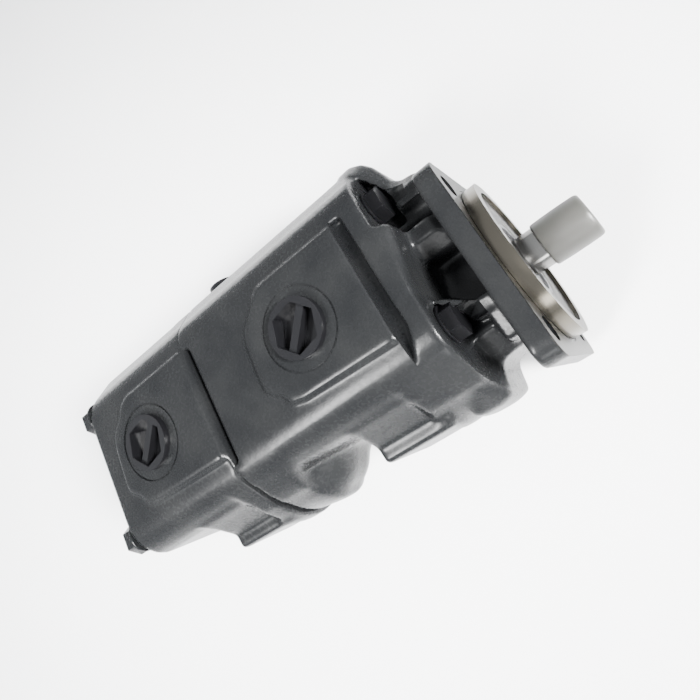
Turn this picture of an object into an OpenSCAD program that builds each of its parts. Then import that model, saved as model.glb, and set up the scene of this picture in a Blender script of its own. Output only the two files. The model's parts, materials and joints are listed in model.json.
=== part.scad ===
// Tandem hydraulic gear pump: two external gear sections on one shaft line.
// Millimetres, +Z up through the outlet pads, +Y out of the drive end.
// The origin is on the shaft axis at the face of the mounting flange.

/* [Gears] */
// Distance between the drive and driven gear axes
gear_cd = 46; // [42:0.5:52]
// Teeth on every gear
teeth = 12; // [10:1:14]
// Face width of the front gear pair
gear_w1 = 36; // [24:0.5:40]
// Face width of the rear gear pair
gear_w2 = 28; // [18:0.5:34]
// Journal radius of every gear
journal_r = 11; // [10:0.25:13]
// Side play between a gear face and its thrust plate
side_play = 0.05; // [0.03:0.01:0.15]

/* [Lengths] */
// Height of the pilot boss in front of the flange face
pilot_h = 9.6; // [9:0.1:10]
// Flange plate thickness
flange_t = 12.6; // [11:0.1:18]
// Flange face to the front of the cover body
y_body = 41; // [36:0.5:48]
// Flange face to the cover to housing joint
y_joint1 = 61; // [55:0.5:66]
// Flange face to the joint between the two housings
y_joint2 = 190.6; // [185:0.1:196]
// Flange face to the rear end face
y_end = 292.3; // [285:0.1:300]
// Flange face to the front outlet port axis
y_port1 = 105.7; // [100:0.1:112]
// Flange face to the rear outlet port axis
y_port2 = 239.8; // [232:0.1:246]
// Depth of the front gear chamber behind the cover joint
chamber1 = 89.05; // [80:0.05:95]
// Depth of the rear gear chamber behind the housing joint
chamber2 = 90.4; // [80:0.05:95]

/* [Body] */
// Half height of the cast body
body_z = 67.5; // [60:0.5:72]
// Height of the port pads above the shaft axis
pad_z = 71; // [65:0.5:76]
// Radius of the body ends around each gear axis
end_r = 61.5; // [56:0.5:66]
// Flange plate width across flats
flange_w = 120.6; // [114:0.2:124]
// Pilot boss radius
pilot_r = 50.8; // [50:0.05:51]
// Radius of a flange bolt hole
hole_r = 7.15; // [6.5:0.05:7.5]
// Distance of each flange bolt hole from the two centre lines
hole_off = 44.9; // [44:0.05:46]
// Distance of the cover bolts from the body centre line along X
cover_bolt_x = 39; // [36:0.5:42]
// Distance of the cover bolts from the body centre line along Z
cover_bolt_z = 45; // [43:0.5:50]
// Distance of the case bolts from the body centre line along X
bolt_x = 44; // [42:0.5:48]
// Distance of the case bolts from the body centre line along Z
bolt_z = 55.5; // [50:0.5:58]

/* [Ports] */
// Outlet thread bore radius
port_r = 16.6; // [15:0.1:18]
// Outlet spotface radius
spot_r = 24.8; // [22:0.1:27]
// Inlet thread bore radius
inlet_r = 20.6; // [18:0.1:22]
// Outlet gallery radius
gallery_r = 11.5; // [9:0.5:14]

/* [Shaft] */
// Radius of the shaft shank at the seal
shank_r = 11.9; // [11:0.05:13]
// Outer radius of the drive spline
spline_r = 10.9; // [10.5:0.05:11.5]
// Teeth on the drive spline
spline_n = 13; // [10:1:16]
// Shaft length in front of the flange face
shaft_out = 41.2; // [38:0.1:46]

/* [Hidden] */
cx = -gear_cd / 2;
mod_m = gear_cd / teeth;
pitch_r = gear_cd / 2;
pa = 28;
base_r = pitch_r * cos(pa);
tip_r = pitch_r + 0.9 * mod_m;
root_r = pitch_r - 1.12 * mod_m;
back = 0.16;
bore_r = tip_r + 0.09;
block_r = bore_r - 0.05;
plate_t = 3;
bush_t = 2.5;
bush_r = journal_r + bush_t;
g1_front = y_port1 - gear_w1 / 2;
g1_rear = y_port1 + gear_w1 / 2;
g2_front = y_port2 - gear_w2 / 2;
g2_rear = y_port2 + gear_w2 / 2;
c1_end = y_joint1 + chamber1;
c2_end = y_joint2 + chamber2;
b1_front = y_joint1 + 0.1;
b1_rear = g1_front - side_play - plate_t;
b2_front = g1_rear + side_play + plate_t;
b2_rear = c1_end - 0.1;
b3_front = y_joint2 + 0.1;
b3_rear = g2_front - side_play - plate_t;
b4_front = g2_rear + side_play + plate_t;
b4_rear = c2_end - 0.1;
seal_r = 24;
sleeve_r = 16.5;
// joint rings and block seals, outer and inner radius
ring_ro = 33.5;
ring_ri = 31.1;
bseal_ro = 23.5;
bseal_ri = 21.1;
// M12 fasteners: shank, tapped hole, clearance hole, washer, head
bolt_r = 5.95;
tap_r = 6;
clear_r = 6.3;
washer_r = 11.4;
washer_t = 1.6;
head_af = 19;
head_h = 7.2;
thread_l = 26;
dowel_r = 4;
// the pocket floor under the cover bolts
y_pocket = y_body + 0.5;
rim_r = 17.8;
neck_r = 28;
// front end of the plain shank, just short of the cap's mouth
shank_y = shaft_out - 24.5;
// swelling on the drive side
swell_r = 23;
swell_x = 37;
swell_z = 8;
gauge_x = -101.5;
gauge_y = 175;
gauge_z = 12;
e = 0.01;
$fn = 96;

// Which node to draw

// ---- helpers ----

// Extrude a profile drawn in X-Z from Y = y0 toward the rear
module yex(y0, len) {
  translate([0, y0, 0]) rotate([90, 0, 0]) linear_extrude(height = len) children();
}

// Round bar along Y from Y = y0 toward the rear
module ybar(r, y0, len, x = 0, z = 0) {
  translate([x, y0, z]) rotate([90, 0, 0]) cylinder(r = r, h = len);
}

// The two gear axes
module both_axes() {
  for (x = [0, -gear_cd]) translate([x, 0]) children();
}

module figure8(r) {
  both_axes() circle(r = r);
}

// Right half outline of the body with its sloping shoulder
module shoulder(sx) {
  translate([cx, 0]) mirror([sx < 0 ? 1 : 0, 0])
    polygon([[-1, body_z], [50, body_z], [61, 52], [70.5, 40], [70.5, -40],
      [61, -52], [50, -body_z], [-1, -body_z]]);
}

module waist(sx) {
  translate([cx, 0]) mirror([sx < 0 ? 1 : 0, 0])
    polygon([[-1, body_z], [50, body_z], [61, 52], [61, -52], [50, -body_z],
      [-1, -body_z]]);
}

module wide2d(r = end_r) {
  shoulder(1);
  shoulder(-1);
  both_axes() circle(r = r);
}

// Full on the driven side, waisted on the drive side
module main2d(r) {
  shoulder(-1);
  waist(1);
  translate([-gear_cd, 0]) circle(r = r);
}

module right2d(r) {
  shoulder(1);
  circle(r = r);
}

// Ledge on the drive side, with its top face at Z = zt
module foot2d(zt) {
  polygon([[0, 50], [38, 50], [51, zt], [60, zt], [60.5, zt - 2], [60.5, -34],
    [58, -38], [38, -44], [0, -44]]);
}

// Plate drawn in X-Y, standing from Z = -h to Z = h
module slab(h) {
  translate([0, 0, -h]) linear_extrude(height = 2 * h) children();
}

// Saddle web on the driven side, moved inward by t
module saddle2d(t) {
  polygon([[-20, -flange_t + 1], [-66 + t, -flange_t + 1], [-69 + t, -14], [-70 + t, -21],
    [-74 + t, -25.5], [-82 + t, -28], [-89 + t, -30.5], [-95 + t, -35],
    [-98 + t, -y_body - 1], [-20, -y_body - 1]]);
}

// Web on the drive side, moved inward by t
module web2d(t) {
  polygon([[10, -flange_t + 1], [38 - t, -flange_t + 1], [38.3 - t, -22 - t],
    [40 - t, -28 - t], [42 - t, -32.5 - t], [45.7 - t, -35 - t], [52.3 - t, -37.4 - t],
    [58.3 - t, -38.5 - t], [60.4 - t, -y_body - 8], [10, -y_body - 8]]);
}

module flange2d() {
  k = 13;
  square([flange_w, flange_w - 2 * k], center = true);
  square([flange_w - 2 * k, flange_w], center = true);
  for (sx = [-1, 1])
    for (sz = [-1, 1])
      translate([sx * (flange_w / 2 - k), sz * (flange_w / 2 - k)]) circle(r = k);
}

// Raised pad around a port, drawn in X-Y, with its wavy rear edge near Y = y1
module pad2d(y0, y1) {
  translate([cx, 0])
    polygon([[-37.6, y0], [36.8, y0], [35, y1 + 22], [32.6, y1 + 12.5], [26, y1 + 8.6],
      [18.5, y1 - 1], [6.4, y1], [-12.9, y1 + 2], [-21, y1 + 5.3], [-28, y1 + 16],
      [-33.5, y1 + 18.8], [-37.6, y1 + 26]]);
}

// Port pad from inside the casting up to Z = zt
module pad(y0, y1, zt) {
  translate([0, 0, body_z - 1]) linear_extrude(height = zt - body_z + 1) pad2d(y0, y1);
}

function inv(a) = tan(a) * 180 / PI - a;
function flank(r) = acos(min(1, base_r / r));
function half_at(r) = 90 / teeth - back / pitch_r * 180 / PI / 2 + inv(pa) - inv(flank(r));
function pt(r, a) = [r * cos(a), r * sin(a)];
function tooth(c) = [
  pt(root_r, c - half_at(base_r) - 0.6),
  for (i = [0:5]) let (r = base_r + (tip_r - base_r) * i / 5) pt(r, c - half_at(r)),
  for (i = [5:-1:0]) let (r = base_r + (tip_r - base_r) * i / 5) pt(r, c + half_at(r)),
  pt(root_r, c + half_at(base_r) + 0.6)];

module gear2d(turn) {
  polygon([for (k = [0:teeth - 1]) each tooth(turn + k * 360 / teeth)]);
}

module spline2d(ro, ri, n, fill = 0.5) {
  a = 360 / n;
  polygon([for (k = [0:n - 1]) each [
    pt(ri, (k - fill / 2 - 0.08) * a), pt(ro, (k - fill / 2 + 0.06) * a),
    pt(ro, (k + fill / 2 - 0.06) * a), pt(ri, (k + fill / 2 + 0.08) * a)]]);
}

module bolt_places() {
  for (x = [cx - bolt_x, cx + bolt_x])
    for (z = [-bolt_z, bolt_z])
      translate([x, 0, z]) children();
}

module cover_bolt_places() {
  for (x = [cx - cover_bolt_x, cx + cover_bolt_x])
    for (z = [-cover_bolt_z, cover_bolt_z])
      translate([x, 0, z]) children();
}

module dowel_places() {
  translate([34, 0, 38]) children();
  translate([-gear_cd - 34, 0, -38]) children();
}

// ---- castings ----

module front_cover() {
  color([0.09, 0.09, 0.10]) difference() {
    union() {
      ybar(pilot_r, pilot_h, pilot_h + 1);
      yex(0, flange_t) flange2d();
      ybar(neck_r, -flange_t + e, y_body - flange_t + 1);
      yex(-y_body, y_joint1 - y_body) wide2d(end_r + 0.8);
      // saddle webs between flange and body, stepped inward toward the top
      for (k = [0:2])
        slab(36 + 7 * k) saddle2d(5 * k);
      for (k = [0:2])
        slab(11 + 11 * k) web2d(3 * k);
      // brow between the bolt pockets
      slab(65) polygon([[-46, -y_joint1 + 5], [-44.5, -y_body + 4], [-41, -y_body + 8],
        [-22, -y_body + 4.5], [-5, -y_body], [5, -y_joint1 + 5]]);
      // lands and ribs over the neck, top and bottom alike
      slab(46) polygon([[-54, -flange_t + 1], [-32, -flange_t + 1], [-28, -y_body - 1],
        [-50, -y_body - 1]]);
      slab(50) polygon([[12, -flange_t + 1], [25, -flange_t + 1], [20, -20],
        [3, -y_body - 1], [-1, -y_body - 1]]);
      slab(44) polygon([[23, -flange_t + 1], [41, -flange_t + 1], [38, -23], [27, -24]]);
    }
    // relief groove at the foot of the pilot
    difference() {
      ybar(pilot_r + 1.6, e, 0.8);
      ybar(pilot_r - 1.2, 1, 3);
    }
    // pilot face recess and seal bore
    ybar(44, pilot_h + e, 3.6);
    ybar(seal_r, pilot_h + 1, 18.4);
    ybar(seal_r + 1, 5.5, 1.6);
    ybar(shank_r + 1.6, 0, y_joint1 + 5);
    ybar(bush_r, -14, 22);
    for (sx = [-1, 1])
      for (sz = [-1, 1])
        ybar(hole_r, 5, flange_t + 10, sx * hole_off, sz * hole_off);
    // wrench room behind the four flange holes
    for (sx = [-1, 1])
      for (sz = [-1, 1])
        ybar(13.5, -flange_t, 15, sx * hole_off, sz * (hole_off + 2));
    cover_bolt_places() ybar(clear_r, -y_body + 2, 30);
    cover_bolt_places() ybar(washer_r + 1, -y_pocket + 15, 15);
    dowel_places() ybar(dowel_r, -y_joint1 + 10, 12);
    // groove for the joint ring
    yex(-y_joint1 + 1.8, 3) difference() {
      figure8(ring_ro + 0.1);
      figure8(ring_ri - 0.1);
    }
    // groove across the top at the joint
    translate([-61, -y_joint1 - 1, body_z - 4.5]) cube([74, 8.2, 10]);
    // relief ahead of the driven journal
    ybar(journal_r + 2, -y_joint1 + 3, 6, -gear_cd);
  }
}

module port_cuts(yp) {
  // outlet, up
  translate([cx, -yp, pad_z - 0.7]) difference() {
    cylinder(r = spot_r, h = 3);
    translate([0, 0, -1]) cylinder(r = spot_r - 1.1, h = 5);
  }
  translate([cx, -yp, pad_z - 20]) cylinder(r = port_r, h = 25);
  translate([cx, -yp, 12]) cylinder(r = gallery_r, h = 45);
  // inlet, down
  translate([cx, -yp, -pad_z - 5]) cylinder(r = inlet_r, h = 25);
  translate([cx, -yp, -pad_z - 5]) cylinder(r = inlet_r + 7.5, h = 5.7);
  translate([cx, -yp, -58]) cylinder(r = 14, h = 45);
}

module front_housing() {
  color([0.09, 0.09, 0.10]) difference() {
    union() {
      yex(-y_joint1, y_joint2 - y_joint1) main2d(59.5);
      yex(-y_joint1, 17) right2d(end_r);
      yex(-y_joint1 - 16, 42) foot2d(31);
      yex(-y_joint2 + 24, 24) right2d(end_r);
      // swelling on the drive side around the rear joint
      for (z = [-swell_z, swell_z])
        translate([swell_x, -y_joint2 + swell_r, z]) sphere(r = swell_r);
      translate([swell_x, -y_joint2 + swell_r, -swell_z]) cylinder(r = swell_r, h = 2 * swell_z);
      for (z = [-swell_z, swell_z])
        ybar(swell_r, -y_joint2 + swell_r, swell_r, swell_x, z);
      translate([swell_x, -y_joint2, -swell_z]) cube([swell_r, swell_r, 2 * swell_z]);
      // port pads
      pad(-y_joint1, -y_port1 - 39.3, pad_z);
      mirror([0, 0, 1]) pad(-y_joint1, -y_port1 - 39.3, pad_z);
    }
    yex(-y_joint1 + 1, chamber1 + 1) figure8(bore_r);
    port_cuts(y_port1);
    ybar(sleeve_r + 1, -c1_end + 1, 60);
    ybar(journal_r + 2, -c1_end + 1, 10, -gear_cd);
    cover_bolt_places() ybar(tap_r, -y_joint1 + 1, thread_l + 4);
    // clearance notch in the top edge at the rear joint
    translate([-60, -y_joint2 - 1, 60]) cube([78.5, 6, 20]);
    bolt_places() ybar(tap_r, -y_joint2 + thread_l + 3, thread_l + 5);
    dowel_places() ybar(dowel_r, -y_joint1 + 1, 11);
    dowel_places() ybar(dowel_r, -y_joint2 + 10, 12);
    yex(-y_joint2 + 1.8, 3) difference() {
      figure8(ring_ro + 0.1);
      figure8(ring_ri - 0.1);
    }
    translate([gauge_x, -gauge_y, gauge_z]) rotate([0, -90, 0]) cylinder(r = 11.6, h = 20);
    translate([gauge_x + 7, -gauge_y, gauge_z]) rotate([0, -90, 0]) cylinder(r = 8, h = 10);
  }
}

module rear_housing() {
  color([0.09, 0.09, 0.10]) difference() {
    union() {
      yex(-y_joint2, y_end - y_joint2) main2d(57.5);
      yex(-y_joint2, 14) wide2d(end_r + 2);
      yex(-y_joint2 - 13, 42.5) foot2d(25.5);
      pad(-y_joint2, -y_port2 - 35.2, pad_z + 0.6);
      mirror([0, 0, 1]) pad(-y_joint2, -y_port2 - 35.2, pad_z);
    }
    yex(-y_joint2 + 1, chamber2 + 1) figure8(bore_r);
    port_cuts(y_port2);
    bolt_places() ybar(clear_r, -y_joint2 + 2, y_end - y_joint2 + 5);
    dowel_places() ybar(dowel_r, -y_joint2 + 1, 11);
  }
}

// ---- rotating parts ----

module drive_gear_shaft() {
  color([0.72, 0.73, 0.75]) union() {
    yex(shaft_out, 28) intersection() {
      spline2d(spline_r, spline_r - 1.9, spline_n);
      circle(r = spline_r);
    }
    ybar(spline_r - 1.95, shaft_out, 30);
    ybar(shank_r, shank_y, g1_front + 0.5 + shank_y);
    ybar(journal_r, -g1_rear + 1, b2_rear + 1 - g1_rear);
    yex(-g1_front, gear_w1) union() {
      gear2d(0);
      circle(r = root_r + 0.05);
    }
    yex(-b2_rear + 1, 19) spline2d(8.4, 7, 12);
    ybar(7.02, -b2_rear + 1, 19);
  }
}

module driven_gear(x, yf, yr, jf, jr) {
  yex(-yf, yr - yf) translate([x, 0]) union() {
    gear2d(180 / teeth);
    circle(r = root_r + 0.05);
  }
  ybar(journal_r, -jf, jr - jf, x);
}

module driven_gear_front() {
  color([0.70, 0.71, 0.73])
    driven_gear(-gear_cd, g1_front, g1_rear, b1_front + 0.4, b2_rear - 0.4);
}

module driven_gear_rear() {
  color([0.70, 0.71, 0.73])
    driven_gear(-gear_cd, g2_front, g2_rear, b3_front + 0.4, b4_rear - 0.4);
}

module drive_gear_rear() {
  color([0.70, 0.71, 0.73]) union() {
    yex(-g2_front, gear_w2) union() {
      gear2d(0);
      circle(r = root_r + 0.05);
    }
    ybar(journal_r, -b3_front - 1, b4_rear - 0.4 - b3_front - 1);
    yex(-b3_front + 19, 21) spline2d(8.4, 7, 12);
    ybar(7.02, -b3_front + 19, 21);
  }
}

module coupling_sleeve() {
  color([0.55, 0.55, 0.57]) difference() {
    ybar(sleeve_r, -c1_end - 0.6, y_joint2 - c1_end - 1.2);
    yex(-c1_end + 1, 60) spline2d(8.52, 7.12, 12, 0.56);
    ybar(7.14, -c1_end + 1, 60);
    ybar(9.4, -c1_end + 1, 3.4);
    ybar(9.4, -y_joint2 + 3.4, 10);
  }
}

// ---- bearing blocks, bushes, plates and seals ----

module block(y0, y1, seal_at_front) {
  difference() {
    yex(-y0, y1 - y0) figure8(block_r);
    for (x = [0, -gear_cd]) ybar(bush_r, -y0 + 1, y1 - y0 + 2, x);
    yex(seal_at_front ? -y0 + 1 : -y1 + 2, 3) difference() {
      figure8(bseal_ro + 0.1);
      figure8(bseal_ri - 0.1);
    }
  }
}

module bearing_block_1() {
  color([0.80, 0.81, 0.80]) block(b1_front, b1_rear, true);
}

module bearing_block_2() {
  color([0.80, 0.81, 0.80]) block(b2_front, b2_rear, false);
}

module bearing_block_3() {
  color([0.80, 0.81, 0.80]) block(b3_front, b3_rear, true);
}

module bearing_block_4() {
  color([0.80, 0.81, 0.80]) block(b4_front, b4_rear, false);
}

module bushes(y0, y1, inner_drive) {
  for (x = [0, -gear_cd]) difference() {
    ybar(bush_r, -y0 - 1, y1 - y0 - 2, x);
    ybar(x == 0 ? inner_drive : journal_r + 0.05, -y0, y1 - y0, x);
  }
}

module bushes_1() {
  color([0.72, 0.52, 0.30]) bushes(b1_front, b1_rear, shank_r + 0.05);
}

module bushes_2() {
  color([0.72, 0.52, 0.30]) bushes(b2_front, b2_rear, journal_r + 0.05);
}

module bushes_3() {
  color([0.72, 0.52, 0.30]) bushes(b3_front, b3_rear, journal_r + 0.05);
}

module bushes_4() {
  color([0.72, 0.52, 0.30]) bushes(b4_front, b4_rear, journal_r + 0.05);
}

module plate(y0, hole) {
  yex(-y0, plate_t) difference() {
    figure8(block_r);
    circle(r = hole);
    translate([-gear_cd, 0]) circle(r = journal_r + 0.6);
  }
}

module thrust_plate_1() {
  color([0.75, 0.58, 0.28]) plate(b1_rear, shank_r + 0.6);
}

module thrust_plate_2() {
  color([0.75, 0.58, 0.28]) plate(g1_rear + side_play, journal_r + 0.6);
}

module thrust_plate_3() {
  color([0.75, 0.58, 0.28]) plate(b3_rear, journal_r + 0.6);
}

module thrust_plate_4() {
  color([0.75, 0.58, 0.28]) plate(g2_rear + side_play, journal_r + 0.6);
}

module ring8(y0, t, ro, ri) {
  yex(-y0, t) difference() {
    figure8(ro);
    figure8(ri);
  }
}

module block_seal_1() {
  color([0.06, 0.06, 0.06]) ring8(b1_front, 1.9, bseal_ro, bseal_ri);
}

module block_seal_2() {
  color([0.06, 0.06, 0.06]) ring8(b2_rear - 1.9, 1.9, bseal_ro, bseal_ri);
}

module block_seal_3() {
  color([0.06, 0.06, 0.06]) ring8(b3_front, 1.9, bseal_ro, bseal_ri);
}

module block_seal_4() {
  color([0.06, 0.06, 0.06]) ring8(b4_rear - 1.9, 1.9, bseal_ro, bseal_ri);
}

module cover_oring() {
  color([0.06, 0.06, 0.06]) ring8(y_joint1 - 1.75, 1.75, ring_ro, ring_ri);
}

module housing_oring() {
  color([0.06, 0.06, 0.06]) ring8(y_joint2 - 1.75, 1.75, ring_ro, ring_ri);
}

module lip_seal(y0) {
  difference() {
    ybar(seal_r, y0, 5.5);
    ybar(18, y0 - 1.5, 6);
    ybar(shank_r + 0.06, y0 + 1, 8);
  }
}

module shaft_seal_outer() {
  color([0.10, 0.09, 0.09]) lip_seal(3.9);
}

module shaft_seal_inner() {
  color([0.10, 0.09, 0.09]) lip_seal(-1.8);
}

module seal_circlip() {
  color([0.55, 0.55, 0.58]) yex(5.4, 1.4) difference() {
    circle(r = seal_r + 0.9);
    circle(r = seal_r - 2.6);
    translate([-2.5, -30]) square([5, 20]);
  }
}

module shaft_bush() {
  color([0.72, 0.52, 0.30]) difference() {
    ybar(bush_r, -14.5, 21);
    ybar(shank_r + 0.05, -14, 23);
  }
}

// ---- fasteners ----

module hex_head(y0, af, h, toward) {
  translate([0, y0, 0]) rotate([toward > 0 ? -90 : 90, 0, 0])
    cylinder(r = af / sqrt(3), h = h, $fn = 6);
}

module cover_bolts() {
  color([0.12, 0.12, 0.13]) cover_bolt_places() union() {
    ybar(bolt_r, -y_pocket + washer_t, y_joint1 - y_pocket + washer_t + thread_l);
    hex_head(-y_pocket + washer_t, head_af, head_h, 1);
  }
}

module cover_bolt_washers() {
  color([0.12, 0.12, 0.13]) cover_bolt_places() difference() {
    ybar(washer_r, -y_pocket + washer_t, washer_t);
    ybar(clear_r, -y_pocket + 3, 6);
  }
}

module case_bolts() {
  color([0.12, 0.12, 0.13]) bolt_places() union() {
    ybar(bolt_r, -y_joint2 + thread_l, y_end - y_joint2 + thread_l + washer_t);
    hex_head(-y_end - washer_t, head_af, head_h, -1);
  }
}

module case_bolt_washers() {
  color([0.12, 0.12, 0.13]) bolt_places() difference() {
    ybar(washer_r, -y_end, washer_t);
    ybar(clear_r, -y_end + 1, 6);
  }
}

module dowels_front() {
  color([0.65, 0.66, 0.68]) dowel_places() ybar(dowel_r, -y_joint1 + 9.5, 19);
}

module dowels_rear() {
  color([0.65, 0.66, 0.68]) dowel_places() ybar(dowel_r, -y_joint2 + 9.5, 19);
}

// ---- transport plugs and cap ----

module port_plug(yp, zt) {
  translate([cx, -yp, zt]) union() {
    difference() {
      union() {
        cylinder(r = rim_r, h = 4.6);
        translate([0, 0, -15]) cylinder(r = port_r - 0.05, h = 15 + e);
      }
      translate([0, 0, -4.3]) rotate([0, 0, 42]) cylinder(r = 15.2, h = 20, $fn = 6);
    }
    rotate([0, 0, -42]) translate([-14, -2.4, -5]) cube([28, 4.8, 7.5]);
  }
}

module outlet_plug_front() {
  color([0.03, 0.03, 0.035]) port_plug(y_port1, pad_z);
}

module outlet_plug_rear() {
  color([0.03, 0.03, 0.035]) port_plug(y_port2, pad_z + 0.6);
}

module gauge_plug() {
  color([0.04, 0.04, 0.045]) translate([gauge_x, -gauge_y, gauge_z])
    rotate([0, -90, 0]) difference() {
      union() {
        cylinder(r = 11, h = 6);
        translate([0, 0, -6]) cylinder(r = 7.95, h = 7);
      }
      translate([0, 0, 2]) cylinder(r = 5.6, h = 6, $fn = 6);
    }
}

module shaft_cap() {
  color([0.86, 0.86, 0.83]) difference() {
    ybar(13.9, 45.8, 28.8);
    ybar(12.05, 43.5, 40);
  }
}

front_cover();
front_housing();
rear_housing();
drive_gear_shaft();
driven_gear_front();
coupling_sleeve();
drive_gear_rear();
driven_gear_rear();
bearing_block_1();
bearing_block_2();
bearing_block_3();
bearing_block_4();
bushes_1();
bushes_2();
bushes_3();
bushes_4();
thrust_plate_1();
thrust_plate_2();
thrust_plate_3();
thrust_plate_4();
block_seal_1();
block_seal_2();
block_seal_3();
block_seal_4();
cover_oring();
housing_oring();
shaft_seal_inner();
shaft_seal_outer();
seal_circlip();
shaft_bush();
cover_bolts();
cover_bolt_washers();
case_bolts();
case_bolt_washers();
dowels_front();
dowels_rear();
outlet_plug_front();
outlet_plug_rear();
gauge_plug();
shaft_cap();
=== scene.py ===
"""Looks of the tandem gear pump: castings from distance fields, turned parts, materials, light and camera."""

import json
import math

import bmesh
import bpy
import numpy as np
import openvdb
from mathutils import Matrix, Vector


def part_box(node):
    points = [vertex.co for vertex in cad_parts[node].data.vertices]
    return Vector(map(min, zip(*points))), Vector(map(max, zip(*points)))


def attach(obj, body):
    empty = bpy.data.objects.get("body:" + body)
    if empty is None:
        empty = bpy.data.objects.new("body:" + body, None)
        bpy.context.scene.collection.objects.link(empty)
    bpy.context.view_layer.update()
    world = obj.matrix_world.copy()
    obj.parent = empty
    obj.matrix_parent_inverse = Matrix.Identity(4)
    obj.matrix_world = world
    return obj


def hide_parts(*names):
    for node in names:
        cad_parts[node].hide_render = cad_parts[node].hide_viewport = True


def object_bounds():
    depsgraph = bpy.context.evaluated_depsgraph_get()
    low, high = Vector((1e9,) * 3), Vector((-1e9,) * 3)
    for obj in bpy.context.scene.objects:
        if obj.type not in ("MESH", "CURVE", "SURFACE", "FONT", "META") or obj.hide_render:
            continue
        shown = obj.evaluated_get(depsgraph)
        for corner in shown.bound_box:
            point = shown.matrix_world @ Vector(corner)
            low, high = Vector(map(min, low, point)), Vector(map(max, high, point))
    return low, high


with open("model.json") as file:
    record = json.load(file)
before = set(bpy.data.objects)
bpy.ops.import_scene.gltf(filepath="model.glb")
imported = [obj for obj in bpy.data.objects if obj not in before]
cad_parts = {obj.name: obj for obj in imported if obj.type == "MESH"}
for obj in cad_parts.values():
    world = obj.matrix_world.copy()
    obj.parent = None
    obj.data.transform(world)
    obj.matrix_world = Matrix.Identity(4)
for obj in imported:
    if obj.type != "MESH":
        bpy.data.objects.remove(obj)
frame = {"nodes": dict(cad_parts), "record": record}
CAD_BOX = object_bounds()
NODES = frame["nodes"]
MM = 0.001

# ---------------------------------------------------------------- camera


def make_camera():
    """Looks down at the drive end from above, rolled so that the shaft points to the upper right."""
    data = bpy.data.cameras.new("camera")
    data.sensor_width, data.lens = 36, 29.9
    data.shift_x, data.shift_y = 0.071, -0.086
    data.clip_start, data.clip_end = 0.01, 20
    camera = bpy.data.objects.new("camera", data)
    bpy.context.scene.collection.objects.link(camera)
    forward = Vector((-0.364, -0.405, -0.839)).normalized()
    right = Vector((0.449, 0.713, -0.539))
    right = (right - forward * right.dot(forward)).normalized()
    up = right.cross(forward)
    turn = Matrix((right, up, -forward)).transposed().to_4x4()
    camera.matrix_world = Matrix.Translation((0.0770, 0.0372, 0.3417)) @ turn
    bpy.context.scene.camera = camera


make_camera()

# ---------------------------------------------------------------- sizes in millimetres, from the frame


def span(node, axis):
    """Lowest and highest coordinate of a CAD node along one axis, in millimetres."""
    low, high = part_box(node)
    return low[axis] / MM, high[axis] / MM


Y_JOINT1 = span("front_housing", 1)[1]
Y_JOINT2 = span("rear_housing", 1)[1]
Y_END = span("rear_housing", 1)[0]
PILOT_H = span("front_cover", 1)[1]
PAD_Z = span("front_housing", 2)[1]
PORT_Y = [sum(span(n, 1)) / 2 for n in ("outlet_plug_front", "outlet_plug_rear")]
PORT_X = sum(span("outlet_plug_front", 0)) / 2
GEAR_X = -46.0
FLANGE_HALF = 60.3
FLANGE_T = 12.6
PILOT_R = 50.8
HOLE_R, HOLE_OFF = 7.15, 44.9
SPOT_R = 24.8
INLET_R = 20.6
GEAR_BORE_R = 26.54
DRIVE_BORE_R = 13.5
RECESS_R = 44
RECESS_Y = 6.0
SEAL_BORE_R = 24
BOLT_X = (-62, 16)
BOLT_OFF = 45
GAUGE_AXIS = (0, -175, 12)

# ---------------------------------------------------------------- distance fields


class Field:
    """A block of space as a regular grid, with signed distances in millimetres, negative inside."""

    def __init__(self, low, high, step):
        self.low, self.step = np.array(low, float), step
        axes = [np.arange(a, b + step, step) for a, b in zip(low, high)]
        self.x, self.y, self.z = np.meshgrid(*axes, indexing="ij", sparse=True)
        self.az = np.abs(self.z)


def outline(u, v, points):
    """Exact signed distance to a closed polygon in a plane."""
    u, v = np.broadcast_arrays(u, v)
    best = np.full(u.shape, 1e9)
    inside = np.zeros(u.shape, bool)
    for (ax, ay), (bx, by) in zip(points, points[1:] + points[:1]):
        ex, ey = bx - ax, by - ay
        wx, wy = u - ax, v - ay
        t = np.clip((wx * ex + wy * ey) / (ex * ex + ey * ey), 0, 1)
        best = np.minimum(best, (wx - ex * t) ** 2 + (wy - ey * t) ** 2)
        crosses = (ay > v) != (by > v)
        with np.errstate(divide="ignore", invalid="ignore"):
            inside ^= crosses & (u < ax + ex * (v - ay) / (ey if ey else 1e-9))
    return np.where(inside, -1, 1) * np.sqrt(best)


def between(w, low, high):
    return np.maximum(low - w, w - high)


def disc(u, v, cu, cv, r):
    return np.hypot(u - cu, v - cv) - r


def join(a, b, k=0.0):
    """Union, with a fillet of about k where the two meet."""
    if not k:
        return np.minimum(a, b)
    h = np.maximum(k - np.abs(a - b), 0) / k
    return np.minimum(a, b) - h * h * k / 4


def meet(a, b, k=0.0):
    """Intersection, with a rounded edge of about k."""
    return -join(-a, -b, k)


def cut(a, b, k=0.0):
    return meet(a, -b, k)


def soften(d, passes):
    """Rounds every edge and corner a little, as a cast surface is."""
    for _ in range(passes):
        for axis in range(3):
            padded = np.pad(d, [(1, 1) if i == axis else (0, 0) for i in range(3)], "edge")
            n = d.shape[axis]
            d = (
                np.take(padded, range(0, n), axis) * 0.25
                + np.take(padded, range(1, n + 1), axis) * 0.5
                + np.take(padded, range(2, n + 2), axis) * 0.25
            )
    return d


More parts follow.
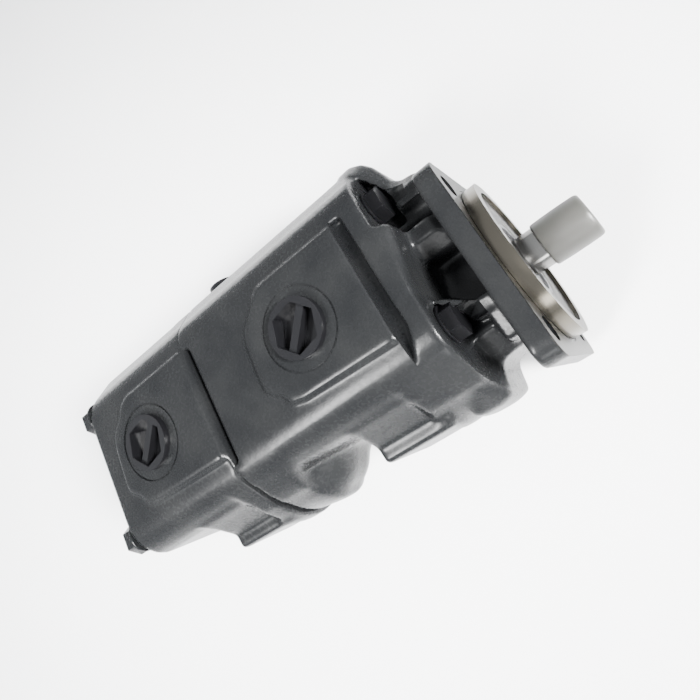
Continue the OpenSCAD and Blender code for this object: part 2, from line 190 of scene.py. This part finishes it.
def mesh_of(name, field, d):
    """The field's zero surface as an object in metres."""
    grid = openvdb.FloatGrid(1e3)
    grid.copyFromArray(np.ascontiguousarray(np.clip(d, -50, 50), dtype=np.float32))
    points, triangles, quads = grid.convertToPolygons(isovalue=0.0, adaptivity=0.0)
    points = (points * field.step + field.low) * MM
    mesh = bpy.data.meshes.new(name)
    faces = [tuple(int(i) for i in f[::-1]) for f in (*triangles, *quads)]
    mesh.from_pydata(points.tolist(), [], faces)
    return link(name, mesh)


def link(name, mesh):
    mesh.validate()
    piece = bpy.data.objects.new(name, mesh)
    bpy.context.scene.collection.objects.link(piece)
    return piece


# ---------------------------------------------------------------- plain meshes and crisp cuts


def lathe(name, profile, centre=(0, 0, 0), axis="y", steps=128):
    """Turns a closed profile of (along, radius) pairs in millimetres about an axis through centre."""
    bm = bmesh.new()
    rings = []
    for along, r in profile:
        if r < 1e-6:
            rings.append([bm.verts.new((along, 0, 0))])
            continue
        angles = [2 * math.pi * i / steps for i in range(steps)]
        ring = [(along, r * math.cos(a), r * math.sin(a)) for a in angles]
        rings.append([bm.verts.new(p) for p in ring])
    for one, two in zip(rings, rings[1:] + rings[:1]):
        if len(one) == 1 and len(two) == 1:
            continue
        for i in range(steps):
            j = (i + 1) % steps
            corners = [one[i % len(one)], one[j % len(one)], two[j % len(two)], two[i % len(two)]]
            bm.faces.new(list(dict.fromkeys(corners)))
    turn = {
        "x": Matrix.Identity(4),
        "y": Matrix(((0, 1, 0, 0), (1, 0, 0, 0), (0, 0, -1, 0), (0, 0, 0, 1))),
        "z": Matrix(((0, 0, 1, 0), (0, 1, 0, 0), (1, 0, 0, 0), (0, 0, 0, 1))),
    }[axis]
    if turn.determinant() < 0:
        turn = turn @ Matrix.Diagonal((1, 1, -1, 1))
    bm.transform(Matrix.Scale(MM, 4) @ Matrix.Translation(centre) @ turn)
    bmesh.ops.recalc_face_normals(bm, faces=bm.faces)
    mesh = bpy.data.meshes.new(name)
    bm.to_mesh(mesh)
    bm.free()
    return link(name, mesh)


def rod(x, y0, y1, z, r, steps=96):
    """Plain round bar along Y."""
    return lathe("cutter", [(y0, 0), (y0, r), (y1, r), (y1, 0)], (x, 0, z), "y", steps)


def post(x, y, z0, z1, r, steps=96):
    """Plain round bar along Z."""
    return lathe("cutter", [(z0, 0), (z0, r), (z1, r), (z1, 0)], (x, y, 0), "z", steps)


def block(low, high):
    bm = bmesh.new()
    bmesh.ops.create_cube(bm, size=1)
    size = [b - a for a, b in zip(low, high)]
    centre = [(a + b) / 2 for a, b in zip(low, high)]
    bm.transform(Matrix.Scale(MM, 4) @ Matrix.Translation(centre) @ Matrix.Diagonal((*size, 1)))
    mesh = bpy.data.meshes.new("cutter")
    bm.to_mesh(mesh)
    bm.free()
    return link("cutter", mesh)


def carve(piece, cutters, keep="DIFFERENCE"):
    """Cuts solids out of a piece, or keeps only what lies inside them, with crisp edges."""
    for cutter in cutters:
        step = piece.modifiers.new("cut", "BOOLEAN")
        step.operation, step.solver, step.object = keep, "MANIFOLD", cutter
    apply_all(piece)
    for cutter in cutters:
        bpy.data.objects.remove(cutter)
    return piece


def apply_all(piece):
    graph = bpy.context.evaluated_depsgraph_get()
    mesh = bpy.data.meshes.new_from_object(piece.evaluated_get(graph))
    piece.modifiers.clear()
    piece.data = mesh


def shade(piece, degrees=32):
    """Smooth shading with sharp edges kept where faces meet at more than the angle."""
    mesh = piece.data
    bm = bmesh.new()
    bm.from_mesh(mesh)
    bmesh.ops.remove_doubles(bm, verts=bm.verts, dist=1e-6)
    for f in bm.faces:
        f.smooth = True
    for e in bm.edges:
        e.smooth = len(e.link_faces) == 2 and e.calc_face_angle(0) < math.radians(degrees)
    bm.to_mesh(mesh)
    bm.free()
    return piece


# ---------------------------------------------------------------- materials


class Nodes:
    """Short calls for building a node tree."""

    def __init__(self, name):
        self.material = bpy.data.materials.new(name)
        self.material.use_nodes = True
        self.tree = self.material.node_tree
        self.shader = self.tree.nodes["Principled BSDF"]
        self.place = self.add("ShaderNodeTexCoord").outputs["Object"]

    def add(self, kind, inputs=None, **settings):
        node = self.tree.nodes.new(kind)
        for key, value in settings.items():
            setattr(node, key, value)
        for key, value in (inputs or {}).items():
            self.put(node.inputs[key], value)
        return node

    def put(self, socket, value):
        if isinstance(value, bpy.types.NodeSocket):
            self.tree.links.new(value, socket)
        else:
            socket.default_value = value

    def noise(self, scale, detail=3.0, rough=0.5):
        return self.add(
            "ShaderNodeTexNoise", {"Vector": self.place, "Scale": scale, "Detail": detail, "Roughness": rough}
        ).outputs["Fac"]

    def ramp(self, value, low, high, out_low, out_high):
        return self.add(
            "ShaderNodeMapRange",
            {"Value": value, "From Min": low, "From Max": high, "To Min": out_low, "To Max": out_high},
        ).outputs["Result"]

    def blend(self, fac, a, b):
        node = self.add("ShaderNodeMix", data_type="RGBA")
        self.put(node.inputs[0], fac)
        self.put(node.inputs[6], (*a, 1))
        self.put(node.inputs[7], (*b, 1))
        return node.outputs[2]

    def bump(self, *layers):
        """Each layer is (height socket, strength, distance in metres)."""
        normal = None
        for height, strength, distance in layers:
            node = self.add("ShaderNodeBump", {"Height": height, "Strength": strength, "Distance": distance})
            if normal is not None:
                self.put(node.inputs["Normal"], normal)
            normal = node.outputs["Normal"]
        self.put(self.shader.inputs["Normal"], normal)

    def set(self, **values):
        for key, value in values.items():
            self.put(self.shader.inputs[key.replace("_", " ")], value)
        return self.material


def cast_paint():
    n = Nodes("cast_paint")
    mottle = n.noise(38, 4)
    waves = n.noise(170, 2, 0.5)
    grain = n.noise(750, 3, 0.6)
    peel = n.noise(1900, 2, 0.6)
    n.bump((waves, 0.1, 0.0009), (grain, 0.05, 0.0004), (peel, 0.24, 0.00014))
    return n.set(
        Base_Color=n.blend(
            n.ramp(mottle, 0.35, 0.65, 0, 1), (0.0055, 0.0058, 0.0062), (0.0085, 0.0088, 0.009)
        ),
        Roughness=n.ramp(n.noise(420, 3), 0.3, 0.7, 0.235, 0.3),
        Specular_IOR_Level=0.145,
    )


def turned_steel(name, base, rough):
    """Bright steel with fine rings about the shaft axis."""
    n = Nodes(name)
    xyz = n.add("ShaderNodeSeparateXYZ", {"Vector": n.place})
    square_x = n.add("ShaderNodeMath", {0: xyz.outputs["X"], 1: 2.0}, operation="POWER").outputs[0]
    square_z = n.add("ShaderNodeMath", {0: xyz.outputs["Z"], 1: 2.0}, operation="POWER").outputs[0]
    total = n.add("ShaderNodeMath", {0: square_x, 1: square_z}, operation="ADD").outputs[0]
    radius = n.add("ShaderNodeMath", {0: total, 1: 0.5}, operation="POWER").outputs[0]
    along = n.add("ShaderNodeMath", {0: radius, 1: xyz.outputs["Y"]}, operation="ADD").outputs[0]
    place = n.add("ShaderNodeCombineXYZ", {"X": along}).outputs[0]
    rings = n.add("ShaderNodeTexNoise", {"Vector": place, "Scale": 2600, "Detail": 3.0}).outputs["Fac"]
    n.bump((rings, 0.12, 0.00006))
    n.shader.inputs["Metallic"].default_value = 1.0
    return n.set(
        Base_Color=n.blend(n.noise(45, 4), base, tuple(c * 0.82 for c in base)),
        Roughness=n.ramp(rings, 0.3, 0.7, rough, rough + 0.1),
    )


def plain_metal(name, base, rough):
    n = Nodes(name)
    n.shader.inputs["Metallic"].default_value = 1.0
    n.bump((n.noise(480, 3), 0.08, 0.0002))
    return n.set(
        Base_Color=n.blend(n.noise(160 / 3, 4), base, tuple(c * 0.78 for c in base)),
        Roughness=n.ramp(n.noise(160, 3), 0.3, 0.7, rough, rough + 0.12),
    )


def gloss_black(name="plug_plastic", base=(0.004, 0.004, 0.0045), rough=0.14, specular=0.5):
    n = Nodes(name)
    n.bump((n.noise(500, 2), 0.06, 0.0003))
    return n.set(
        Base_Color=n.blend(n.noise(90, 3), base, tuple(c * 1.6 for c in base)),
        Roughness=n.ramp(n.noise(240, 3), 0.3, 0.7, rough, rough + 0.1),
        Specular_IOR_Level=specular,
    )


def rubber():
    n = Nodes("seal_rubber")
    n.bump((n.noise(700, 3), 0.1, 0.0003))
    return n.set(
        Base_Color=n.blend(n.noise(120, 3), (0.02, 0.02, 0.02), (0.032, 0.031, 0.03)),
        Roughness=n.ramp(n.noise(300, 2), 0.3, 0.7, 0.55, 0.7),
    )


def cap_plastic():
    n = Nodes("cap_plastic")
    n.bump((n.noise(220, 3), 0.05, 0.0006))
    n.shader.inputs["Subsurface Weight"].default_value = 0.35
    n.shader.inputs["Subsurface Radius"].default_value = (0.006, 0.006, 0.0055)
    n.shader.inputs["Subsurface Scale"].default_value = 1.0
    return n.set(
        Base_Color=n.blend(n.noise(60, 3), (0.05, 0.049, 0.044), (0.039, 0.038, 0.034)),
        Roughness=n.ramp(n.noise(150, 3), 0.3, 0.7, 0.34, 0.44),
    )


PAINT = cast_paint()
STEEL = turned_steel("pilot_steel", (0.13, 0.118, 0.096), 0.15)
# darker copy of the same turned steel for faces along the shaft: painted shade standing in for the dark
# reflection they show
STEEL_PAINTED_SHADE = turned_steel("steel_painted_shade", (0.017, 0.0165, 0.015), 0.3)
SHAFT = turned_steel("shaft_steel", (0.24, 0.235, 0.225), 0.14)
GEAR = plain_metal("gear_steel", (0.52, 0.52, 0.53), 0.25)
ALLOY = plain_metal("block_alloy", (0.72, 0.73, 0.72), 0.34)
BRONZE = plain_metal("bush_bronze", (0.60, 0.38, 0.20), 0.30)
BRASS = plain_metal("plate_brass", (0.66, 0.48, 0.22), 0.28)
SPRING = plain_metal("spring_steel", (0.36, 0.36, 0.37), 0.30)
BOLT = gloss_black("bolt_black", (0.0022, 0.0022, 0.0025), 0.45, 0.04)
PLUG = gloss_black(base=(0.003, 0.003, 0.0034), specular=0.28)
GAUGE = gloss_black("plug_black", (0.004, 0.004, 0.0045), 0.4, 0.12)
RUBBER = rubber()
CAP = cap_plastic()

LOOKS = {
    "cast_paint": PAINT,
    "shaft_steel": SHAFT,
    "gear_steel": GEAR,
    "block_alloy": ALLOY,
    "bush_bronze": BRONZE,
    "plate_brass": BRASS,
    "seal_rubber": RUBBER,
    "spring_steel": SPRING,
    "bolt_black": BOLT,
    "plug_plastic": PLUG,
    "plug_steel": GAUGE,
    "cap_plastic": CAP,
}


def dress_nodes():
    """Gives every CAD node the material of its record slot, except the case bolts, which get the cast paint.
    """
    for part in frame["record"]["subparts"]:
        mesh = NODES[part["node"]].data
        mesh.materials.clear()
        painted = part["node"].startswith("case_bolt")
        mesh.materials.append(PAINT if painted else LOOKS[part["material_slot"]])


def break_edges(node, width):
    """Small rounded edges on a CAD node, by modifiers only."""
    piece = NODES[node]
    weld = piece.modifiers.new("weld", "WELD")
    weld.merge_threshold = 1e-6
    edge = piece.modifiers.new("edge", "BEVEL")
    edge.width, edge.segments, edge.limit_method = width * MM, 3, "ANGLE"
    edge.angle_limit = math.radians(35)


def finish_piece(piece, materials, node=None, body="case"):
    piece.data.materials.clear()
    for material in materials if isinstance(materials, list) else [materials]:
        piece.data.materials.append(material)
    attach(piece, body)
    if node:
        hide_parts(node)
    return piece


# ---------------------------------------------------------------- castings


def mirrored(points):
    """Points of a half outline about the body's centre line, on the driven side."""
    return [(2 * PORT_X - x, z) for x, z in points]


SHOULDER = [(13, 67.5), (18, 67.1), (23.5, 65.6), (28.5, 62.9), (33, 58.6), (37.8, 52.4), (47.6, 40)]
WAIST = [(13, 67.5), (18, 67.1), (23.5, 65.6), (28.5, 62.5), (32.5, 58), (36.5, 52), (38.6, 44)]


def body_outline(f, drive_wide, r_drive, r_driven):
    """Cross-section of the body: full on the driven side, full or waisted on the drive side."""
    half = SHOULDER if drive_wide else WAIST
    driven = mirrored(SHOULDER)
    top = [*driven[::-1], *half]
    around = [*top, *[(x, -z) for x, z in top[::-1]]]
    d = outline(f.x, f.z, around)
    d = join(d, disc(f.x, f.z, GEAR_X, 0, r_driven), 6)
    if drive_wide:
        d = join(d, disc(f.x, f.z, 0, 0, r_drive), 6)
    return d


def foot(f, top_z, y0, y1):
    """Ledge on the drive side between Y = y0 and y1."""
    shape = [
        (0, 50), (38, 50), (51, top_z), (59.5, top_z - 0.6), (60.5, top_z - 3),
        (60.5, -34), (58, -38), (38, -44), (0, -44),
    ]
    return meet(outline(f.x, f.z, shape), between(f.y, y0, y1))


def joint_gap(f, d, y):
    """A narrow gap either side of the rear joint, on the drive side only."""
    depth = 2.6 * np.clip((f.x - 22) / 10, 0, 1)
    return cut(d, meet(between(f.y, y - 1.15, y + 1.15), -(d + depth)))


def pad_outline(f, y0, y1):
    """Raised port pad seen from above, with a wavy border near Y = y1."""
    c = PORT_X
    shape = [
        (c - 37.6, y0), (c + 36.6, y0), (c + 34.6, y1 + 22), (c + 32.4, y1 + 12.5), (c + 26, y1 + 8.6),
        (c + 18.5, y1 - 0.5), (c + 6.4, y1), (c - 12.9, y1 + 2), (c - 21, y1 + 5.3), (c - 28, y1 + 15),
        (c - 33.5, y1 + 18.8), (c - 37.6, y1 + 26),
    ]
    return outline(f.x, f.y, shape)


def rounded_top(d, f, top, edge):
    """A plateau up to |Z| = top with a rounded upper edge."""
    return meet(d, f.az - top, edge)


def front_housing():
    y0, y1 = Y_JOINT2, Y_JOINT1
    f = Field((-114, y0 - 5, -76), (68, y1 + 5, 76), 1.25)
    d = meet(body_outline(f, False, 0, 60.3), between(f.y, y0, y1 + 9))
    front = meet(body_outline(f, True, 62, 60.3), between(f.y, y1 - 17, y1 + 9))
    d = meet(join(d, front, 5), body_outline(f, True, 62, 60.3))
    d = join(d, foot(f, 31, y1 - 58, y1 - 10), 4)
    rear = meet(body_outline(f, True, 61.5, 59.5), between(f.y, y0, y0 + 24))
    d = meet(join(d, rear, 9), join(d, body_outline(f, True, 62, 60.3)))
    swell = np.sqrt((f.x - 37) ** 2 + (f.y - y0 - 23) ** 2 + np.maximum(f.az - 6, 0) ** 2) - 23
    d = join(d, swell, 11)
    pad = pad_outline(f, y1 + 0.5, PORT_Y[0] - 39.3)
    d = join(d, rounded_top(pad, f, PAD_Z, 2.0), 1.5)
    notch = meet(meet(between(f.x, -60, 18.5), between(f.y, y0 - 9, y0 + 5)), 60 - f.az)
    d = cut(d, notch)
    d = joint_gap(f, soften(d, 3), y0)
    piece = mesh_of("front_housing_cast", f, d)
    carve(piece, [block((-120, y0 - 20, -90), (80, y1, 90))], "INTERSECT")
    cutters = [
        *port_cutters(PORT_Y[0]),
        rod(0, Y_JOINT1 - 89, Y_JOINT1 + 9, 0, GEAR_BORE_R),
        rod(GEAR_X, Y_JOINT1 - 89, Y_JOINT1 + 9, 0, GEAR_BORE_R),
        rod(0, y0 - 9, y1 - 60, 0, 17.5),
        lathe(
            "cutter",
            [(-125, 0), (-125, 11.6), (-101.5, 11.6), (-101.5, 8), (-94.5, 8), (-94.5, 0)],
            GAUGE_AXIS, "x",
        ),
    ]
    carve(piece, cutters)
    finish_piece(shade(piece), PAINT, "front_housing")


def port_cutters(y):
    """Outlet thread and spotface ring on top, inlet port below."""
    low, high = PAD_Z - 0.7, PAD_Z + 3
    ring = [(low, SPOT_R - 1.1), (low, SPOT_R), (high, SPOT_R), (high, SPOT_R - 1.1)]
    return [
        post(PORT_X, y, 12, 90, 16.6),
        lathe("cutter", ring, (PORT_X, y, 0), "z"),
        post(PORT_X, y, -90, -70.3, INLET_R + 7.5),
        post(PORT_X, y, -80, -51, INLET_R),
        post(PORT_X, y, -55, -13, 14),
    ]


def rear_housing():
    y0, y1 = Y_END, Y_JOINT2
    f = Field((-112, y0 - 5, -76), (70, y1 + 5, 76), 1.25)
    d = meet(body_outline(f, False, 0, 57.5), between(f.y, y0, y1))
    front = meet(body_outline(f, True, 63.5, 59.5), between(f.y, y1 - 14, y1))
    d = meet(join(d, front, 6), body_outline(f, True, 63.5, 59.5))
    d = join(d, foot(f, 25.5, y1 - 55.4, y1 - 8), 4)
    pad = pad_outline(f, y1 - 0.5, PORT_Y[1] - 35.2)
    d = join(d, rounded_top(pad, f, PAD_Z + 0.6, 2.0), 1.5)
    d = meet(d, -PAD_Z - f.z)
    d = joint_gap(f, soften(d, 3), y1)
    piece = mesh_of("rear_housing_cast", f, d)
    cutters = [
        *port_cutters(PORT_Y[1]),
        rod(0, y1 - 90.4, y1 + 9, 0, GEAR_BORE_R),
        rod(GEAR_X, y1 - 90.4, y1 + 9, 0, GEAR_BORE_R),
    ]
    carve(piece, cutters)
    finish_piece(shade(piece), PAINT, "rear_housing")


def flange_outline(f):
    """Distance to the square flange plate with its rounded corners."""
    corner = 12
    u, v = np.abs(f.x) - (FLANGE_HALF - corner), np.abs(f.z) - (FLANGE_HALF - corner)
    return np.hypot(np.maximum(u, 0), np.maximum(v, 0)) + np.minimum(np.maximum(u, v), 0) - corner


def prism(f, points, height, chamfer=0.0):
    """Plate outline in X-Y up to |Z| = height, with a sloping edge of the given width."""
    d = outline(f.x, f.y, points)
    solid = meet(d, f.az - height)
    if chamfer:
        solid = meet(solid, (d + f.az - height + chamfer) * 0.7071)
    return solid


def front_cover():
    f = Field((-114, Y_JOINT1 - 5, -76), (68, 6, 76), 1.1)
    body = meet(body_outline(f, True, 62, 60.3), between(f.y, Y_JOINT1 - 4, -41), 3)
    brow = prism(f, [(-46, -60), (-45, -37), (-41, -33), (-22, -36.5), (-5, -41), (5, -60)], 66, 3)
    d = join(body, brow, 4)
    neck = meet(disc(f.x, f.z, 0, 0, 25), between(f.y, -50, -8))
    neck = join(neck, meet(disc(f.x, f.z, -34, 0, 20), between(f.y, -50, -8)), 20)
    d = join(d, neck, 10)
    saddle = [
        (-20, -8), (-66, -8), (-69, -14), (-70, -21), (-74, -25.5), (-82, -28),
        (-89, -30.5), (-95, -35), (-98.5, -43), (-98, -52), (-20, -52),
    ]
    d = join(d, prism(f, saddle, 46, 10), 4)
    web = [
        (10, -8), (41.5, -8), (42, -22), (42.6, -28), (44, -32.5), (47, -36),
        (52.3, -38.8), (58.3, -40.5), (60.6, -46), (60.6, -55), (10, -55),
    ]
    d = join(d, prism(f, web, 36, 16), 9)
    wing = [(42, -60), (42, -39.5), (48, -38.6), (59, -41), (60.6, -47), (60.6, -60)]
    d = join(d, prism(f, wing, 38, 15), 7)
    groove = outline(f.x, f.y, [(-62, -72), (-62, -54.2), (9, -53.4), (16, -55.5), (27, -61), (27, -72)])
    d = cut(d, meet(groove, 62.5 - f.az), 1.5)
    # bolt pockets: long and open at the top on the driven side, round on the drive side
    pocket = [(-86, -41.5), (-80, -37), (-71, -32), (-65, -29.5), (-46, -29.5), (-46, -41.5)]
    d = cut(d, meet(outline(f.x, f.y, pocket), 31 - f.az), 2)
    d = cut(d, meet(disc(f.x, f.az, 16, 45, 14), between(f.y, -41.5, 0)), 2)
    d = join(d, meet(flange_outline(f), between(f.y, -FLANGE_T, 5)), 3)
    # boss, rib and land behind the flange, each with a sloping top
    boss = prism(f, [(-58, -5), (-57, -25), (-50, -27.5), (-39.5, -27), (-39.5, -5)], 50)
    d = join(d, meet(boss, -0.62 * (f.x + 48) + 0.78 * (f.az - 50)), 3)
    rib = [(0, -43), (4.2, -35), (8.7, -28.8), (13, -22.5), (14, -5), (22, -5), (22, -29), (16, -31)]
    rib_top = 0.34 * (f.x - 14) + 0.93 * (f.az - 49) - 0.1 * (f.y + 20)
    d = join(d, meet(prism(f, rib, 52), rib_top, 1), 2)
    land = prism(f, [(20, -5), (22.5, -21.5), (39, -22), (39, -5)], 46)
    land_top = 0.3 * (f.x - 24) + 0.94 * (f.az - 45.5) - 0.16 * (f.y + 14)
    d = join(d, meet(land, land_top, 1), 2)
    d = soften(d, 2)
    piece = mesh_of("front_cover_cast", f, d)
    carve(piece, [block((-120, Y_JOINT1, -90), (80, -0.4, 90))], "INTERSECT")
    cutters = [rod(s * HOLE_OFF, -40, 9, t * HOLE_OFF, HOLE_R) for s in (-1, 1) for t in (-1, 1)]
    cutters += [rod(x, Y_JOINT1 - 9, -20, z, 6.3) for x in BOLT_X for z in (-BOLT_OFF, BOLT_OFF)]
    cutters.append(rod(0, Y_JOINT1 - 9, 9, 0, DRIVE_BORE_R))
    carve(piece, cutters)
    finish_piece(shade(piece), PAINT, "front_cover")
    cover_face()


def rounded_square(half, r, steps=10):
    """Corner-rounded square about the shaft axis, as X-Z points."""
    points = []
    for quarter in range(4):
        cx = (half - r) * (1 if quarter in (0, 3) else -1)
        cz = (half - r) * (1 if quarter in (0, 1) else -1)
        for i in range(steps + 1):
            a = math.pi / 2 * (quarter + i / steps)
            points.append((cx + r * math.cos(a), cz + r * math.sin(a)))
    return points


def cover_face():
    """The machined front of the cover: flange face, relief groove and pilot, then recess and seal bore."""
    plate = bmesh.new()
    loops = []
    for y, inset in ((-0.9, 0.15), (-0.35, 0.0), (0.0, 0.35)):
        loops.append([plate.verts.new((x, y, z)) for x, z in rounded_square(FLANGE_HALF - inset, 12 - inset)])
    for one, two in zip(loops, loops[1:]):
        for i in range(len(one)):
            j = (i + 1) % len(one)
            plate.faces.new((one[i], one[j], two[j], two[i]))
    plate.faces.new(loops[0])
    plate.faces.new(loops[-1][::-1])
    plate.transform(Matrix.Scale(MM, 4))
    bmesh.ops.recalc_face_normals(plate, faces=plate.faces)
    mesh = bpy.data.meshes.new("cover_face")
    plate.to_mesh(mesh)
    plate.free()
    face = link("cover_face", mesh)
    top = PILOT_H - 1.25
    drum = lathe("drum", [(-0.9, 40), (-0.9, PILOT_R), (top, PILOT_R), (top, 40)], steps=192)
    carve(face, [drum], "UNION")
    groove = [(-0.79, PILOT_R), (-0.79, PILOT_R + 1.6), (2, PILOT_R + 1.6), (2, PILOT_R)]
    carve(face, [lathe("cutter", groove, steps=192)])
    carve(face, [rod(0, -9, 20, 0, RECESS_R)])
    carve(face, [rod(s * HOLE_OFF, -9, 9, t * HOLE_OFF, HOLE_R) for s in (-1, 1) for t in (-1, 1)])
    recess = lathe(
        "cover_recess",
        [
            (-8, RECESS_R + 0.2), (RECESS_Y, RECESS_R + 0.2), (RECESS_Y, 26), (5.4, 24.6), (5.4, SEAL_BORE_R),
            (-7.8, SEAL_BORE_R), (-7.8, DRIVE_BORE_R), (-12, DRIVE_BORE_R), (-12, RECESS_R + 0.2),
        ],
        steps=160,
    )
    finish_piece(shade(face, 25), [STEEL_PAINTED_SHADE, STEEL])
    # the flange face gets the darker steel copy as painted shade, the pilot the lighter steel
    for f in face.data.polygons:
        middle = f.center / MM
        f.material_index = 1 if middle.y > 0.2 and math.hypot(middle.x, middle.z) > 40 else 0
    finish_piece(shade(recess, 25), [STEEL_PAINTED_SHADE, STEEL])
    # walls across the shaft get the lighter steel, floors facing along it the darker copy as painted shade
    for f in recess.data.polygons:
        f.material_index = 1 if abs(f.normal.y) < 0.5 else 0


def shaft_cap():
    """Push-on cap with a soft rounded end, slightly narrower there than at its mouth."""
    front = span("shaft_cap", 1)[1]
    mouth = span("shaft_cap", 1)[0]
    profile = [
        (front, 0), (front, 11.2), (front - 0.2, 12.0), (front - 0.7, 12.7), (front - 1.5, 13.15),
        (front - 2.8, 13.35),
        (front - 6, 13.45), (front - 10, 13.55), (front - 15, 13.6), (mouth + 6, 13.55), (mouth + 1, 13.4),
        (mouth + 0.3, 13.2), (mouth, 12.8), (mouth, 12.4), (mouth + 0.4, 12.1), (front - 15, 12.05),
        (front - 2.3, 12.05), (front - 2.3, 0),
    ]
    cap = lathe("shaft_cap_soft", profile, steps=96)
    for v in cap.data.vertices:
        # a thin moulded skirt is never quite round
        along = (v.co.y / MM - mouth) / (front - mouth)
        angle = math.atan2(v.co.z, v.co.x)
        dent = 0.012 * max(0.0, math.sin(angle - 0.4)) * along ** 3
        squeeze = 1 - 0.006 * (1 + math.sin(2 * angle + 0.6)) - dent
        if math.hypot(v.co.x, v.co.z) > 12.3 * MM:
            v.co.x, v.co.z = v.co.x * squeeze, v.co.z * squeeze
    finish_piece(shade(cap, 50), CAP, "shaft_cap", "cap")


dress_nodes()
front_cover()
front_housing()
rear_housing()
shaft_cap()
for name, width in (
    ("cover_bolts", 0.5), ("case_bolts", 1.2),
    ("cover_bolt_washers", 0.3), ("case_bolt_washers", 0.4),
    ("outlet_plug_front", 0.5), ("outlet_plug_rear", 0.5), ("gauge_plug", 0.4),
):
    break_edges(name, width)

# ---------------------------------------------------------------- stage and light


def stage():
    mesh = bpy.data.meshes.new("floor")
    s, z = 4.0, CAD_BOX[0].z - 0.0002
    mesh.from_pydata([(-s, -s, z), (s, -s, z), (s, s, z), (-s, s, z)], [], [(0, 1, 2, 3)])
    floor = link("floor", mesh)
    n = Nodes("floor")
    floor.data.materials.append(n.set(Base_Color=(0.9, 0.9, 0.9, 1), Roughness=0.6))


def lamp(name, place, target, size, power, spread=180):
    data = bpy.data.lights.new(name, "AREA")
    data.shape, data.size, data.size_y = "RECTANGLE", size[0], size[1]
    data.energy, data.spread = power, math.radians(spread)
    light = bpy.data.objects.new(name, data)
    bpy.context.scene.collection.objects.link(light)
    light.location = place
    light.rotation_euler = (Vector(target) - Vector(place)).to_track_quat("-Z", "Y").to_euler()


def lights():
    """A sky brighter on the drive side and three soft boxes: side, key behind, narrow beam in front."""
    world = bpy.data.worlds.new("world")
    bpy.context.scene.world = world
    world.use_nodes = True
    tree = world.node_tree
    place = tree.nodes.new("ShaderNodeTexCoord").outputs["Generated"]
    split = tree.nodes.new("ShaderNodeSeparateXYZ")
    tree.links.new(place, split.inputs[0])
    level = tree.nodes.new("ShaderNodeMapRange")
    level.inputs["From Min"].default_value = -1.0
    level.inputs["To Min"].default_value, level.inputs["To Max"].default_value = 1.25, 1.5
    tree.links.new(split.outputs["X"], level.inputs["Value"])
    back = tree.nodes["Background"]
    back.inputs["Color"].default_value = (0.93, 0.96, 1.0, 1)
    tree.links.new(level.outputs["Result"], back.inputs["Strength"])
    centre = (-0.02, -0.14, 0)
    lamp("side", (1.25, -0.1, 0.5), centre, (0.5, 0.3), 7)
    lamp("key", (0.5, -0.7, 1.1), centre, (0.25, 0.5), 60)
    lamp("front", (0.6, 1.2, 1.1), centre, (0.5, 0.5), 14, 35)


stage()
lights()
